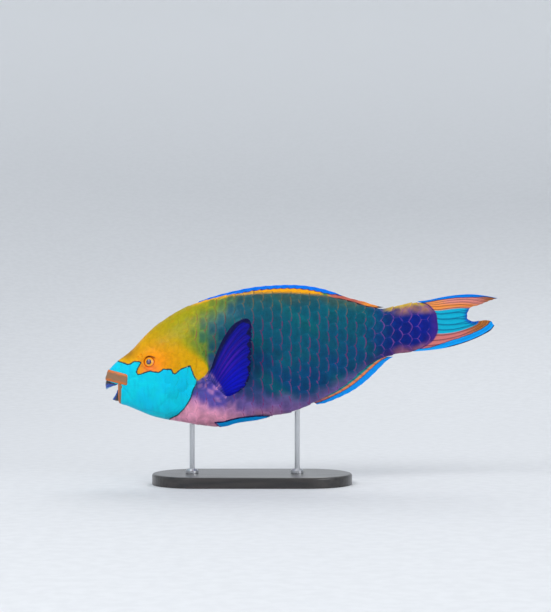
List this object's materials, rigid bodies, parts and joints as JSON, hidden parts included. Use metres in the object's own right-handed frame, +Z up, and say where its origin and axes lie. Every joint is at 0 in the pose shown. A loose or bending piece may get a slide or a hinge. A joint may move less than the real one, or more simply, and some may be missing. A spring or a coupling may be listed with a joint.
{
  "type": "parrotfish model",
  "caption": "Life-size male parrotfish, mouth open and pectoral fins raised, held over a flat base by two rods.",
  "frame": {"origin": "centre of the stand base's flat underside", "axes": "+X from the head to the tail along the length, +Y to the fish's right, +Z up"},
  "size_m": [0.5489, 0.152, 0.2785],
  "materials": {
    "yellow_head": "satin, yellow over the crown and turquoise over the cheek",
    "teal_body": "satin scales, teal with magenta rims",
    "violet_tail": "satin scales, deep blue with violet rims",
    "blue_beak": "polished, blue-green with a pale cutting edge",
    "orange_eye": "polished, orange ring and dark pupil",
    "orange_blue_fin": "satin, orange with blue bands",
    "bright_blue_fin": "satin, bright blue",
    "deep_blue_fin": "satin, deep blue with violet rays",
    "black_base": "satin black",
    "steel_rod": "brushed"
  },
  "bodies": {
    "root": {"head": "yellow_head", "torso": "teal_body", "tail_stalk": "violet_tail", "beak_upper": "blue_beak", "beak_lower": "blue_beak", "eye_left": "orange_eye", "eye_right": "orange_eye", "dorsal_fin": "orange_blue_fin", "anal_fin": "bright_blue_fin", "tail_fin": "orange_blue_fin", "pectoral_fin_left": "deep_blue_fin", "pectoral_fin_right": "deep_blue_fin", "pelvic_fin_left": "bright_blue_fin", "pelvic_fin_right": "bright_blue_fin", "stand_base": "black_base", "stand_rod_front": "steel_rod", "stand_rod_rear": "steel_rod"}
  },
  "joints": []
}
